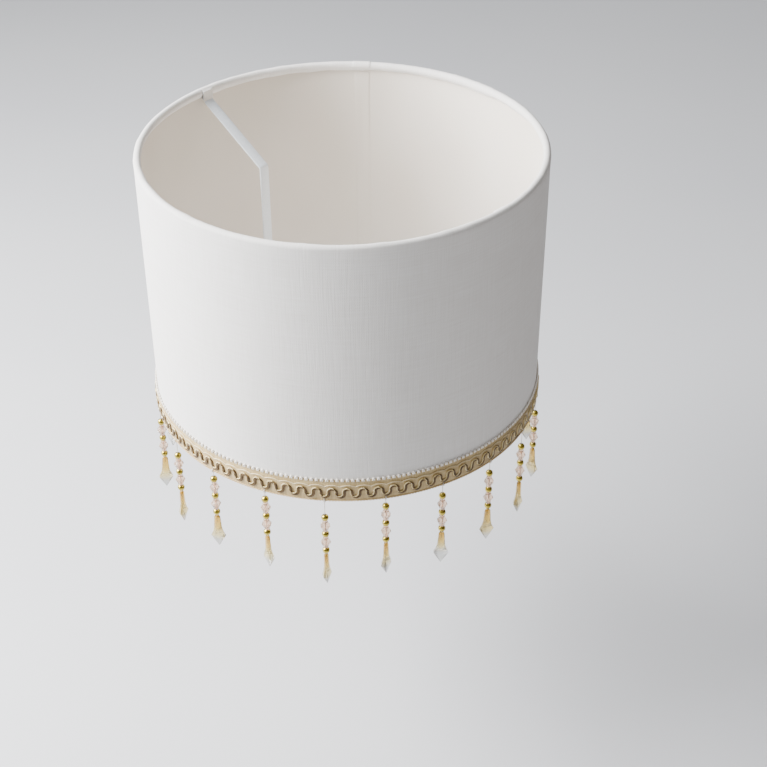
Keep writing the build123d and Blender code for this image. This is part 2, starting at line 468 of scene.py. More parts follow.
# %% Glued end of the thread, with its knot at the mouth of the hole
KNOT = 1.7  # times the thread
bpy.ops.mesh.primitive_cylinder_add(
    vertices=8,
    radius=THREAD / 2 * MM,
    depth=DROP_HOLE_DEPTH * MM,
    location=(0, 0, -DROP_HOLE_DEPTH / 2 * MM),
)
thread_end = begin("thread_end")
pick(thread_end, "polygons", lambda p: p.normal.z > 0.9)
for rise, share in ((0.04, KNOT), (0.09, 1.1), (0.07, 0.7)):
    bpy.ops.mesh.extrude_region_move(TRANSFORM_OT_translate={"value": (0, 0, rise * MM)})
    bpy.ops.transform.resize(value=(share, share, 1), center_override=(0, 0, 0))
close_up(thread_end)
report(thread_end)

# %% Amber-tinted acrylic
amber_acrylic = new_material("amber_tinted_acrylic")
tree = amber_acrylic.node_tree
depth = add_node(tree, "ShaderNodeAttribute", attribute_name="depth_below")
share_down = add_node(
    tree, "ShaderNodeMath", {0: depth.outputs["Fac"], 1: DROP_LENGTH}, operation="DIVIDE"
)
tint = ramp(
    tree,
    share_down.outputs[0],
    [(0.0, "#d8a83e"), (0.35, "#e4c262"), (0.55, "#efdd9c"), (0.74, "#e6e6e2")],
)
amber_acrylic = finish_material(
    amber_acrylic,
    {"Base Color": tint, "Roughness": 0.06, "IOR": 1.47, "Transmission Weight": 0.8},
)

# %% Nylon thread
# Beading nylon is a single clear strand that looks whitish where light runs along it.
nylon = finish_material(
    new_material("nylon_thread"),
    {"Base Color": linear("#efe9dc"), "Roughness": 0.35, "IOR": 1.53, "Transmission Weight": 0.4},
)

# %% [markdown]
# The thread is the one free cord on each strand: half a millimetre thick, as long as the strand,
# and hanging straight under its beads. It is a smooth curve with a round section. Its length comes
# from the two joints: it starts to bend just under the lip, and stops at the drop's pivot.

# %% Threads
THREAD_POINTS = 6


def hanging_thread(name, top, bottom):
    """A thread that hangs from top to bottom."""
    line = bpy.data.curves.new(name, "CURVE")
    line.dimensions = "3D"
    line.bevel_depth = THREAD / 2 * MM
    line.bevel_resolution = 2
    line.use_fill_caps = True
    line.resolution_u = 3
    spline = line.splines.new("NURBS")
    spline.points.add(THREAD_POINTS - 1)
    for i, point in enumerate(spline.points):
        point.co = (*top.lerp(bottom, i / (THREAD_POINTS - 1)), 1)
    spline.order_u = 3
    spline.use_endpoint_u = True
    thread = bpy.data.objects.new(name, line)
    bpy.context.scene.collection.objects.link(thread)
    return thread


# %% [markdown]
# Twenty strands are now strung. Every bead is a copy with its own mesh, turned by a seeded chance
# about the thread, because round beads never line their cuts up. A drop hangs a degree or two out
# of plumb, where its glue set crooked.

# %% String the strands
chance = random.Random(11)
thread_lengths = []
for number in range(1, STRANDS + 1):
    strand, hung_on = f"strand_{number:02d}", f"drop_{number:02d}"
    beads_node, drop_node = f"{strand}_beads", f"{strand}_drop"
    top, drop_pivot, face = strand_joints(number)
    lowest_gold = drop_pivot + Vector((0, 0, (DROP_GAP / 2 + GOLD_BEAD / 2) * MM))

    def on_thread(steps, tilt):
        """A place so many bead pitches above the lowest gold bead, turned by chance."""
        turned = Matrix.Rotation(chance.uniform(0, 2 * pi), 4, "Z")
        tilted = Matrix.Rotation(radians(chance.uniform(-tilt, tilt)), 4, "X")
        place = lowest_gold + Vector((0, 0, steps * BEAD_PITCH * MM))
        return Matrix.Translation(place) @ turned @ tilted

    golds = join([copy_to(gold_bead, "gold", on_thread(i, 6)) for i in range(3)], f"{strand}_gold")
    cuts = [copy_to(crystal, "cut", on_thread(i + 0.5, 3)) for i in range(2)]
    crystals = join(cuts, f"{strand}_crystals")
    drop_top = drop_pivot - Vector((0, 0, DROP_GAP / 2 * MM))
    hung = Matrix.Translation(drop_top) @ Matrix.Rotation(face, 4, "Z")
    crooked = Matrix.Rotation(radians(chance.uniform(-2.5, 2.5)), 4, "X")
    pendant = copy_to(drop, f"{strand}_pendant", hung @ crooked)
    reach = chance.uniform(0.8, 1.25)  # how far the dip of dye came up this drop
    for value in pendant.data.attributes["depth_below"].data:
        value.value *= reach
    glued_end = copy_to(thread_end, f"{strand}_thread_end", hung @ crooked)
    thread_foot = drop_pivot + Vector((0, 0, THREAD_END_GAP * MM))
    thread = hanging_thread(f"{strand}_thread", top, thread_foot)
    thread.data.materials.append(nylon)

    place_piece(golds, strand, gold_acrylic, [beads_node])
    place_piece(crystals, strand, clear_acrylic, [beads_node], smooth=1)
    place_piece(pendant, hung_on, amber_acrylic, [drop_node], smooth=1)
    place_piece(glued_end, hung_on, nylon, [drop_node])
    place_piece(thread, strand, None, [beads_node])
    length = (top - thread_foot).length
    thread_lengths.append(length / MM)

for original in (gold_bead, crystal, drop, thread_end):
    remove(original)
print("threads from", round(min(thread_lengths), 1), "to", round(max(thread_lengths), 1), "mm")

# %% [markdown]
# ## The drum
# The cover is one strip of linen, about 0.8 m long, drawn round the drum. Both its long edges roll
# over the rim wires, turn in and end tucked under the wire, about a millimetre off the liner. So
# its section is drawn once, from the end of one hem over both wires to the end of the other, and
# is spun about the axis. The same helper then makes the liner, the braid's tape and the fitter
# ring.

# %% Helpers for round shapes


def outline(name, points):
    """A primitive merged to one vertex, then drawn out along points, (radius, height)."""
    bpy.ops.mesh.primitive_plane_add(size=MM)
    piece = begin(name)
    bpy.ops.mesh.merge(type="CENTER")
    bpy.ops.transform.translate(value=(points[0][0] * MM, 0, points[0][1] * MM))
    for before, after in zip(points, points[1:]):
        step = ((after[0] - before[0]) * MM, 0, (after[1] - before[1]) * MM)
        bpy.ops.mesh.extrude_vertices_move(TRANSFORM_OT_translate={"value": step})
    return piece


def spin_up(piece, steps, first=0.0, turn=2 * pi):
    """Spins the outline about the axis, from the azimuth first on, and closes the mesh up."""
    bpy.ops.mesh.select_all(action="SELECT")
    bpy.ops.mesh.spin(steps=steps, angle=-turn, center=(0, 0, 0), axis=(0, 0, 1))
    close_up(piece)
    piece.data.transform(Matrix.Rotation(first, 4, "Z"))
    return piece


def arc(centre, radius, first, last, steps):
    """Points of a round stretch of an outline, from one angle to another, in degrees."""
    angles = [radians(first + (last - first) * i / steps) for i in range(steps + 1)]
    return [(centre[0] + radius * cos(a), centre[1] + radius * sin(a)) for a in angles]


def azimuth_of(point):
    """A point's azimuth, in degrees."""
    return degrees(atan2(point[1], point[0]))


def from_azimuth(point, azimuth):
    """How many degrees a point lies past an azimuth, from -180 to 180."""
    return (azimuth_of(point) - azimuth + 180) % 360 - 180


# %% Sizes of the drum
LINEN = 0.5
LINER = 0.4
HEM_DEPTH = 4.5
LINER_LAP = 10.0
LAP_AZIMUTH = 127.5  # where the liner and the linen both overlap, at the back
cover_low, cover_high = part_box("fabric_cover")
wire_low, wire_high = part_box("top_ring")
COVER_RADIUS = cover_high.x / MM
RIM_TOP, RIM_BOTTOM = cover_high.z / MM, cover_low.z / MM
TOP_WIRE = (wire_high.z + wire_low.z) / 2 / MM
ROLL = RIM_TOP - TOP_WIRE  # the rolled edge's outer radius
BOTTOM_WIRE = RIM_BOTTOM + ROLL
WALL = COVER_RADIUS - LINEN / 2  # the middle of the linen's thickness
ROLL_CENTRE = COVER_RADIUS - ROLL
LINER_INNER = COVER_RADIUS - LINEN - LINER
STRIP_WIDTH, STRIP = 7.0, 1.2  # the steel strip of the carrier's arms
arm_low, arm_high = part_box("carrier_arm_right")
TAB_RADIUS = arm_high.x / MM - STRIP / 2
print("drum", round(COVER_RADIUS, 1), "mm radius, rims at", round(RIM_TOP, 1), round(RIM_BOTTOM, 1))

# %% [markdown]
# The roll is a little fuller in one place at the front, where the strip was pieced, and the end of
# each hem wanders, as scissors and fingers left it. The wall itself has very low waves, which
# catch the light. Noise gives all three, looked up on the surface so that it closes up round the
# drum. The upper hem also has to pass over the two tabs of the carrier, which are welded inside
# the wire. There the mesh is cut with bisect planes into a patch as wide as the strip, the patch
# is drawn inwards over the tab, and the linen is snipped on one side of it, as the maker did to
# get it round the corner.

# %% Linen cover
ROUND_STEPS = 256
WALL_ROWS = 24
PIECED_AZIMUTH, PIECED_HALF_ANGLE, PIECED_FULLER = -17.0, 7.0, 0.35
ON_LINER = LINER_INNER - LINEN / 2 - 0.05  # where linen pressed flat on the liner would lie
TUCK_DEPTH = 2.9  # the hem's end, tucked up under the wire
TUCK_END = ((1.6, 0.8), (1.1, 0.2), (0.9, 0.0))  # its last points: off that place, and short of its end
HEM_TURN = 226  # how far the linen goes round the wire, in degrees
LOW_WAVES = 0.07  # in the wall
ROLL_FULLNESS = 1.04  # the rolls over the section, before their lumps
LARGE_LUMPS, SMALL_LUMPS = 0.28, 0.2
HEM_WANDER = 0.9  # how far the hem's end strays
FLAP_STRETCH = 0.85  # the flap over a tab, drawn down
SNIP, SNIP_WIDTH = 3.75, 0.5  # the cut beside an arm: its distance from the arm's middle, and its width
OVER_TAB = TAB_RADIUS - STRIP / 2 - LINEN / 2 - 0.05  # where the hem lies over an arm's tab


def rolled(wire_z, up):
    """The outline of one rolled rim, from the wall to the hem's end. up is 1 at the top."""
    over = arc((ROLL_CENTRE, wire_z), ROLL - LINEN / 2, 0, up * HEM_TURN, 16)
    end_z = wire_z - up * TUCK_DEPTH
    return over + [(ON_LINER - off, end_z + up * short) for off, short in TUCK_END]


wall_rows = [BOTTOM_WIRE + (TOP_WIRE - BOTTOM_WIRE) * i / WALL_ROWS for i in range(1, WALL_ROWS)]
section = rolled(BOTTOM_WIRE, -1)[::-1] + [(WALL, z) for z in wall_rows] + rolled(TOP_WIRE, 1)
cover = spin_up(outline("linen_cover", section), ROUND_STEPS, first=pi / ROUND_STEPS)


def in_upper_hem(place):
    """True inside the roll of the upper rim."""
    return hypot(place.x, place.y) < ROLL_CENTRE * MM and place.z > (TOP_WIRE - HEM_DEPTH) * MM


bpy.ops.object.mode_set(mode="EDIT")
for cut in (-SNIP - SNIP_WIDTH, -SNIP, SNIP, SNIP + SNIP_WIDTH):
    pick(cover, "polygons", lambda p: in_upper_hem(p.center) and abs(p.center.y) < 9 * MM)
    bpy.ops.mesh.bisect(plane_co=(0, cut * MM, 0), plane_no=(0, 1, 0))


def snipped(face):
    """True in the narrow cut on each arm's clockwise side."""
    side = -1 if face.center.x < 0 else 1
    return in_upper_hem(face.center) and SNIP * MM < face.center.y * side < (SNIP + SNIP_WIDTH) * MM


snipped_faces = pick(cover, "polygons", snipped)
bpy.ops.mesh.delete(type="FACE")
bpy.ops.object.mode_set(mode="OBJECT")


def handled(co):
    """The linen as it was drawn on by hand: low waves, lumpy rolls and one fuller stretch."""
    out = Vector((co.x, co.y, 0)).normalized()
    radius = hypot(co.x, co.y)
    moved = co + out * noise.noise(Vector((co.x, co.y, co.z * 0.5)) * 16) * LOW_WAVES * MM
    wire_z = TOP_WIRE if co.z > 0 else BOTTOM_WIRE
    past_wire = radius < ROLL_CENTRE * MM or abs(co.z) > abs(wire_z) * MM
    if past_wire and abs(co.z) > (abs(wire_z) - HEM_DEPTH) * MM:
        centre = out * ROLL_CENTRE * MM + Vector((0, 0, wire_z * MM))
        lumps = max(0.0, noise.noise(Vector((co.x, co.y, 3)) * 55)) * LARGE_LUMPS
        lumps += max(0.0, noise.noise(Vector((co.x, co.y, 5)) * 160)) * SMALL_LUMPS
        past = from_azimuth(co, PIECED_AZIMUTH) / PIECED_HALF_ANGLE
        fuller = max(0.0, 1 - past**2) ** 0.5 * PIECED_FULLER / ROLL if co.z > 0 else 0.0
        moved = centre + (moved - centre) * (ROLL_FULLNESS + lumps + fuller)
        if co.z > 0 and radius < ROLL_CENTRE * MM:
            under = max(0.0, TOP_WIRE - co.z / MM) / TUCK_DEPTH
            moved.z -= under * (0.7 + noise.noise(Vector((co.x, co.y, 9)) * 60)) * HEM_WANDER * MM
    over_tab = in_upper_hem(co) and abs(co.y) < (SNIP + 0.1) * MM and co.z < (TOP_WIRE + 1.1) * MM
    if over_tab and moved.xy.length > OVER_TAB * MM:
        below_wire = max(0.0, wire_z * MM - moved.z)
        moved = out * OVER_TAB * MM + Vector((0, 0, moved.z - below_wire * FLAP_STRETCH))
    return moved


move_points(cover, handled)
shape_with(cover, "SOLIDIFY", thickness=LINEN * MM, offset=0)
report(cover)
print("faces snipped beside the arms:", snipped_faces)

# %% [markdown]
# At the back the strip's two ends overlap. The upper end is folded under and glued, so there is a
# strip about 12 mm wide that stands a little proud from rim to rim and rolls over both wires with
# the rest. It is the same outline, moved out by the linen's thickness and spun through a few
# degrees only.

# %% Seam fold
SEAM_WIDTH = 12.0
FOLD_PROUD = 0.42
FOLD_TURN = 215  # how far it rolls over each wire, in degrees


def proud(points):
    """The outline moved off the drum's wall and out from the rolls' centres."""
    moved = []
    for radius, z in points:
        wire_z = TOP_WIRE if z > TOP_WIRE else BOTTOM_WIRE if z < BOTTOM_WIRE else z
        away = Vector((radius - ROLL_CENTRE, z - wire_z)).normalized() * FOLD_PROUD
        moved.append((radius + away.x, z + away.y))
    return moved


top_hem = arc((ROLL_CENTRE, TOP_WIRE), ROLL - LINEN / 2, 0, FOLD_TURN, 12)
bottom_hem = arc((ROLL_CENTRE, BOTTOM_WIRE), ROLL - LINEN / 2, -FOLD_TURN, 0, 12)
fold_section = proud(bottom_hem + [(WALL, z) for z in wall_rows] + top_hem)
fold_angle = SEAM_WIDTH / COVER_RADIUS
seam = spin_up(outline("seam_fold", fold_section), 8, radians(LAP_AZIMUTH) - fold_angle / 2, fold_angle)
move_points(seam, lambda co: co * (1 + noise.noise(co * 60) * 0.0004))
shape_with(seam, "SOLIDIFY", thickness=LINEN * 0.8 * MM, offset=0)
shape_with(seam, "BEVEL", width=0.15 * MM, segments=2, limit_method="ANGLE", angle_limit=radians(50))
report(seam)
fold_azimuths = [round(azimuth_of(v.co), 1) for v in seam.data.vertices]
print("seam fold from", min(fold_azimuths), "to", max(fold_azimuths), "degrees")

# %% [markdown]
# The linen is a plain weave, one yarn over and one under, with slubs: short thick places in the
# yarn, which run as faint streaks both ways. Its yarns are 0.5 mm apart, too fine to show from
# where the camera stands, so the weave is drawn at twice that, and the slubs carry the rest. All
# of it follows the wall by distance and height, and its join is under the seam fold.

# %% Slubbed linen
YARN_PITCH = 1.0  # drawn at twice the real spacing, so that it shows
linen = new_material("slubbed_linen")
tree = linen.node_tree
cloth = round_the_drum(tree, COVER_RADIUS, LAP_AZIMUTH)
apart = add_node(tree, "ShaderNodeSeparateXYZ", {0: cloth})
yarns = []
for axis in (0, 1):
    phase = add_node(
        tree, "ShaderNodeMath", {0: apart.outputs[axis], 1: 2 * pi / YARN_PITCH}, operation="MULTIPLY"
    )
    yarns.append(add_node(tree, "ShaderNodeMath", {0: phase.outputs[0]}, operation="SINE").outputs[0])
weave = add_node(tree, "ShaderNodeMath", {0: yarns[0], 1: yarns[1]}, operation="MULTIPLY").outputs[0]
warp_slubs = stretched_noise(tree, cloth, (0.9, 26, 1), detail=3)
weft_slubs = stretched_noise(tree, cloth, (34, 1.0, 1), detail=3)
slubs = add_node(tree, "ShaderNodeMath", {0: warp_slubs, 1: weft_slubs}, operation="ADD").outputs[0]
mottle = stretched_noise(tree, cloth, (30, 30, 1), detail=2)
shade_by = add_node(
    tree, "ShaderNodeMath", {0: mottle, 1: 0.35, 2: slubs}, operation="MULTIPLY_ADD"
)
linen_tint = add_node(tree, "ShaderNodeMapRange", {0: shade_by.outputs[0], 1: 0.75, 2: 1.6})
fibres = bump(tree, slubs, 0.16, 0.9)
linen = finish_material(
    linen,
    {
        "Base Color": ramp(tree, linen_tint.outputs[0], [(0.0, "#e3dfd9"), (1.0, "#f0eeea")]),
        "Roughness": 0.85,
        "Sheen Weight": 0.15,
        "Sheen Roughness": 0.6,
        "Normal": bump(tree, weave, 0.05, 0.7, over=fibres),
    },
)
place_piece(cover, "drum", linen, ["fabric_cover"], smooth=50)
place_piece(seam, "drum", linen, smooth=40)

# %% [markdown]
# The liner is a sheet of matt plastic that the linen was stuck to while it lay flat. Inside the
# drum it is all that shows between the hems. Its two ends overlap by 10 mm behind the seam fold,
# where the second layer makes a low step and a slightly darker band.

# %% Liner
LINER_MIDDLE = COVER_RADIUS - LINEN - LINER / 2
LINER_ROWS = 12
LAP_HEIGHT = 158.6  # of the overlap, from hem to hem
LAP_SHARE = 0.4  # its second layer over the liner's own thickness
liner_rows = [
    (LINER_MIDDLE, BOTTOM_WIRE + (TOP_WIRE - BOTTOM_WIRE) * i / LINER_ROWS)
    for i in range(LINER_ROWS + 1)
]
liner = spin_up(outline("liner_sheet", liner_rows), ROUND_STEPS)
shape_with(liner, "SOLIDIFY", thickness=LINER * MM, offset=0)
lap_rows = [
    (LINER_INNER - LINER * LAP_SHARE / 2, BOTTOM_WIRE + HEM_DEPTH + 1 + i * LAP_HEIGHT / LINER_ROWS)
    for i in range(LINER_ROWS + 1)
]
lap_angle = LINER_LAP / LINER_INNER
lap = spin_up(outline("liner_lap", lap_rows), 6, radians(LAP_AZIMUTH) - lap_angle / 2, lap_angle)
shape_with(lap, "SOLIDIFY", thickness=LINER * LAP_SHARE * MM, offset=0)
shape_with(lap, "BEVEL", width=0.1 * MM, segments=2, limit_method="ANGLE", angle_limit=radians(50))
liner = join([liner, lap], "liner_sheet")
report(liner)

# %% Matt laminating sheet
# Rolled styrene film: even, warm white, with a fine grain from the roller.
liner_sheet = new_material("matt_laminating_sheet")
tree = liner_sheet.node_tree
inside = round_the_drum(tree, LINER_INNER, LAP_AZIMUTH)
grain = stretched_noise(tree, inside, (1.2, 1.2, 1), detail=3)
cloudy = stretched_noise(tree, inside, (55, 90, 1), detail=1)
liner_sheet = finish_material(
    liner_sheet,
    {
        "Base Color": ramp(tree, cloudy, [(0.3, "#ded5c8"), (0.7, "#e4dcd0")]),
        "Roughness": 0.6,
        "Normal": bump(tree, grain, 0.04, 0.6),
    },
)
place_piece(liner, "drum", liner_sheet, ["liner"], smooth=40)

# %% [markdown]
# ## The carrier
# Each arm is one flat steel strip, 7 mm wide and 1.2 mm thick, bent over a former: a tab on the
# rim wire, a slope into the drum, an upright leg, and a foot on the fitter ring. A curve with a
# flat profile could do it, but the strip would twist at the bends. A flat ribbon drawn out along
# the middle line, with its bend lines bevelled to arcs and then thickened, stays true. The left
# arm is a copy turned half round.

# %% Carrier arm
BEND = 2.5
LEG_RADIUS = 70.6
SHOULDER_Z = RIM_TOP - 39.6
TAB_DROP = 5.6
FOOT_Z = arm_low.z / MM + STRIP / 2
ARM_LINE = (
    (TAB_RADIUS, arm_high.z / MM),
    (TAB_RADIUS, TOP_WIRE - TAB_DROP),
    (LEG_RADIUS, SHOULDER_Z),
    (LEG_RADIUS, FOOT_Z),
    (arm_low.x / MM, FOOT_Z),
)


def half_turn(before, at, after):
    """Half the angle that the strip turns through at a bend."""
    way_in = Vector(at) - Vector(before)
    way_out = Vector(after) - Vector(at)
    return way_in.angle(way_out) / 2


arm = outline("carrier_arm", ARM_LINE)
bpy.ops.mesh.select_all(action="SELECT")
bpy.ops.transform.translate(value=(0, -STRIP_WIDTH / 2 * MM, 0))
bpy.ops.mesh.extrude_edges_move(TRANSFORM_OT_translate={"value": (0, STRIP_WIDTH * MM, 0)})
for before, at, after in zip(ARM_LINE, ARM_LINE[1:], ARM_LINE[2:]):
    corner_place = Vector((at[0], 0, at[1])) * MM

    def on_bend(edge):
        """True for the edge that runs across the strip at this bend."""
        first, last = (arm.data.vertices[i].co for i in edge.vertices)
        return ((first + last) / 2 - corner_place).length < 0.1 * MM

    pick(arm, "edges", on_bend)
    bpy.ops.mesh.bevel(offset=BEND * tan(half_turn(before, at, after)) * MM, segments=6, affect="EDGES")
close_up(arm)
shape_with(arm, "SOLIDIFY", thickness=STRIP * MM, offset=0)
shape_with(arm, "BEVEL", width=0.28 * MM, segments=2, limit_method="ANGLE", angle_limit=radians(50))
left_arm = copy_to(arm, "carrier_arm_left_strip", Matrix.Rotation(pi, 4, "Z"))
arm.name = "carrier_arm_right_strip"
report(arm)

# %% [markdown]
# The fitter ring is a pressed washer that drops over the lampholder's collar, so its bore is the
# shade's mount. Pressing leaves soft edges and a shallow groove that stiffens it. Each foot was
# spot-welded on with two dimples.

# %% Fitter ring and spot welds
ring_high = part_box("fitter_ring")[1]
RING_OUTER = ring_high.x / MM
RING_BORE = 21.0
RING_HALF = ring_high.z / MM
GROOVE = 0.25
RING_SECTION = (
    (RING_BORE, -RING_HALF), (RING_OUTER, -RING_HALF), (RING_OUTER, RING_HALF),
    (RING_OUTER - 3.0, RING_HALF), (RING_OUTER - 3.6, RING_HALF - GROOVE),
    (RING_BORE + 1.8, RING_HALF - GROOVE), (RING_BORE + 1.2, RING_HALF),
    (RING_BORE, RING_HALF), (RING_BORE, -RING_HALF),
)
ring = spin_up(outline("fitter_ring_plate", RING_SECTION), 128)
shape_with(ring, "BEVEL", width=0.3 * MM, segments=2, limit_method="ANGLE", angle_limit=radians(50))

WELD_RADIUS, WELD_HEIGHT = 1.1, 0.3
WELD_RIM, WELD_DIMPLE = 0.3, 0.16  # the rim left round the dimple, and the dimple's depth
WELD_ACROSS, WELD_FROM_RIM = 1.6, 1.5  # from the foot's middle, and in from the ring's rim
bpy.ops.mesh.primitive_cylinder_add(
    vertices=20,
    radius=WELD_RADIUS * MM,
    depth=WELD_HEIGHT * MM,
    location=(0, 0, 0),
    end_fill_type="NGON",
)
weld = begin("weld")
pick(weld, "polygons", lambda p: p.normal.z > 0.9)
bpy.ops.mesh.inset(thickness=WELD_RIM * MM)
bpy.ops.transform.translate(value=(0, 0, -WELD_DIMPLE * MM))
close_up(weld)
foot_top = FOOT_Z + STRIP / 2
welds = []
for side in (1, -1):
    for across in (-WELD_ACROSS, WELD_ACROSS):
        place = (side * (RING_OUTER - WELD_FROM_RIM) * MM, across * MM, foot_top * MM)
        welds.append(copy_to(weld, "weld", Matrix.Translation(place)))
remove(weld)
welds = join(welds, "spot_welds")
report(ring)

# %% White powder coat
# Powder coat melts to a hard white skin, slightly blue beside linen, with a faint orange peel.
powder_coat = new_material("white_powder_coat")
tree = powder_coat.node_tree
peel = stretched_noise(tree, object_mm(tree), (1.3, 1.3, 1.3), detail=1)
powder_coat = finish_material(
    powder_coat,
    {
        "Base Color": ramp(tree, peel, [(0.3, "#e6edf3"), (0.7, "#edf3f8")]),
        "Roughness": 0.34,
        "Normal": bump(tree, peel, 0.02, 0.6),
    },
)
place_piece(arm, "drum", powder_coat, ["carrier_arm_right"], smooth=40)
place_piece(left_arm, "drum", powder_coat, ["carrier_arm_left"], smooth=40)
place_piece(ring, "drum", powder_coat, ["fitter_ring"], smooth=40)
place_piece(welds, "drum", powder_coat, smooth=40)

# %% Plastic-coated wire
# Rim wire is dipped in white vinyl so that it can't rust through the cloth.
coated_wire = new_material("vinyl_coated_wire")
tree = coated_wire.node_tree
ripple = stretched_noise(tree, object_mm(tree), (4, 4, 4), detail=1)
coated_wire = finish_material(
    coated_wire,
    {
        "Base Color": ramp(tree, ripple, [(0.3, "#e9e9e4"), (0.7, "#f2f2ee")]),
        "Roughness": 0.4,
        "Normal": bump(tree, ripple, 0.05, 0.5),
    },
)
for name in ("top_ring", "bottom_ring"):
    wire = frame["nodes"][name]
    wire.data.materials.clear()
    wire.data.materials.append(coated_wire)

# %% [markdown]
# ## The braid
# The braid is a gimp: a woven beige tape with a corded lip below, a gold cord laid on it in
# waves, a pale stitched line above the waves, and a header band with a row of pearly loops along
# its upper edge. The gold cord is drawn as two yarns: a bronze one, with painted shade on the
# cord's lower side, and a bright one that is a painted highlight on its upper side. Each repeat is
# modelled once, flat, and wrapped to the drum. Blender's spin tool
# then copies it round the axis. Last, the whole braid wanders a little up and down, as it was
# glued on by hand.

# %% Helpers for the braid
lip_low, lip_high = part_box("braid_lip")
tape_low, tape_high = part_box("braid_tape")
wave_low, wave_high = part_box("braid_wave_cord")
TAPE_RADIUS = tape_high.x / MM
WAVES = 85
WAVE_PITCH = 2 * pi * (TAPE_RADIUS + 0.4) / WAVES
wander_chance = random.Random(5)
WANDER = [  # waves round the drum, phase, size
    (n, wander_chance.uniform(0, 2 * pi), wander_chance.uniform(0.02, 0.045)) for n in (2, 5, 9, 14)
]


def cord_section(across, thick, place, sides=6):
    """An open ring of vertices for a cord that starts upwards: across the wall, and off it."""
    bpy.ops.mesh.primitive_circle_add(
        vertices=sides,
        radius=across / 2 * MM,
        fill_type="NOTHING",
        location=(place[0] * MM, 0, place[1] * MM),
    )
    piece = begin("cord")
    bpy.ops.transform.resize(value=(1, thick / across, 1), center_override=(0, 0, 0))
    return piece


def run_up(rise):
    """Draws the selected ring of a cord straight up, or down."""
    bpy.ops.mesh.extrude_edges_move(TRANSFORM_OT_translate={"value": (0, 0, rise * MM)})


def turn_round(centre, angle, steps):
    """Spins the selected ring of a cord about a point of the flat pattern."""
    place = (centre[0] * MM, 0, centre[1] * MM)
    bpy.ops.mesh.spin(steps=steps, angle=-angle, center=place, axis=(0, 1, 0))


def wrap(piece, radius):
    """Bends the flat pattern, X along and -Y outwards, round a drum of this radius."""

    def bent(co):
        distance_out = radius * MM - co.y
        angle = co.x / (radius * MM)
        return Vector((distance_out * cos(angle), distance_out * sin(angle), co.z))

    return move_points(piece, bent)


def repeat_round(piece, count):
    """Copies the shape round the axis until it comes back to itself, and closes it up."""
    only(piece)
    bpy.ops.object.mode_set(mode="EDIT")
    bpy.ops.mesh.select_all(action="SELECT")
    bpy.ops.mesh.spin(
        steps=count - 1, angle=2 * pi * (count - 1) / count, center=(0, 0, 0), axis=(0, 0, 1), dupli=True
    )
    return close_up(piece)


def glued_by_hand(co):
    """The braid's low wander up and down, the same for all its layers."""
    angle = atan2(co.y, co.x)
    rise = sum(size * sin(n * angle + phase) for n, phase, size in WANDER)
    return Vector((co.x, co.y, co.z + rise * MM))


print("one wave is", round(WAVE_PITCH, 2), "mm")

# %% Tape
TAPE_THICK = 0.9
TAPE_INNER = TAPE_RADIUS - TAPE_THICK
tape_bottom, tape_top = tape_low.z / MM - 0.5, tape_high.z / MM
tape_rows = [tape_bottom + (tape_top - tape_bottom) * i / 8 for i in range(9)]
tape_outer = [(TAPE_RADIUS - 0.25 * abs(i - 4) / 4, z) for i, z in enumerate(tape_rows)]
tape_inner = [(TAPE_INNER, z) for z in (tape_top, tape_bottom)]
tape = spin_up(outline("braid_tape_band", tape_outer + tape_inner + tape_outer[:1]), 340)
move_points(tape, glued_by_hand)
shape_with(tape, "BEVEL", width=0.2 * MM, segments=2, limit_method="ANGLE", angle_limit=radians(50))
report(tape)

# %% Corded lip
# One lay of a two-ply cord is a slanted oval; four hundred and twenty of them make the lip.
LIP_LAYS = 420
LIP_RAISED = 0.12  # clear of threads swung right out
LIP_SLANT = 52  # degrees
lip_middle_z = (lip_low.z + lip_high.z) / 2 / MM + LIP_RAISED
LIP_THICK = (lip_high.z - lip_low.z) / MM
lip_radius = lip_high.x / MM - 0.6
bpy.ops.mesh.primitive_uv_sphere_add(segments=8, ring_count=6, radius=LIP_THICK / 2 * MM)
lip = begin("braid_lip_cord")
bpy.ops.transform.resize(value=(1.0, 0.8, 1.9), center_override=(0, 0, 0))
close_up(lip)
lip.data.transform(Matrix.Rotation(radians(LIP_SLANT), 4, "Y"))
lip_height = max(v.co.z for v in lip.data.vertices) * 2
lip.data.transform(Matrix.Scale(LIP_THICK * MM / lip_height, 4, (0, 0, 1)))
lip.data.transform(Matrix.Translation((0, 0, lip_middle_z * MM)))
wrap(lip, lip_radius)
repeat_round(lip, LIP_LAYS)
move_points(lip, glued_by_hand)
report(lip)

# %% Wave cord
# Two yarns lie side by side in it: a thick bronze one, the cord's dark gold with painted shade on
# its lower side, and a bright one up and to the left of it, a painted highlight where the light falls.
bend_radius = WAVE_PITCH / 4
wave_middle = (wave_low.z + wave_high.z) / 2 / MM
WAVE_MARGIN = 0.5  # taken off the wave's height
straight = (wave_high.z - wave_low.z) / MM - WAVE_MARGIN - 2 * bend_radius


def wave_yarn(name, across, thick, left, rise):
    """One yarn of the wave, drawn for one wave, wrapped on the drum and repeated round it."""
    yarn = cord_section(across, thick, (-bend_radius, -straight / 2), sides=8)
    run_up(straight)
    turn_round((0, straight / 2), pi, 8)
    run_up(-straight)
    turn_round((2 * bend_radius, -straight / 2), -pi, 8)
    close_up(yarn)
    yarn.data.transform(Matrix.Translation((-left * MM, 0, (wave_middle + rise) * MM)))
    wrap(yarn, TAPE_RADIUS + thick / 2 - 0.08)
    repeat_round(yarn, WAVES)
    yarn.name = name
    move_points(yarn, glued_by_hand)
    report(yarn)
    return yarn


# The bronze yarn is the cord's dark gold with painted shade on its lower side; the bright yarn is a painted
# highlight on its upper side.
wave = wave_yarn("braid_bronze_wave", across=1.6, thick=0.95, left=-0.3, rise=0.1)
painted_highlight_wave = wave_yarn("braid_bright_wave", across=0.7, thick=1.0, left=0.7, rise=1.0)

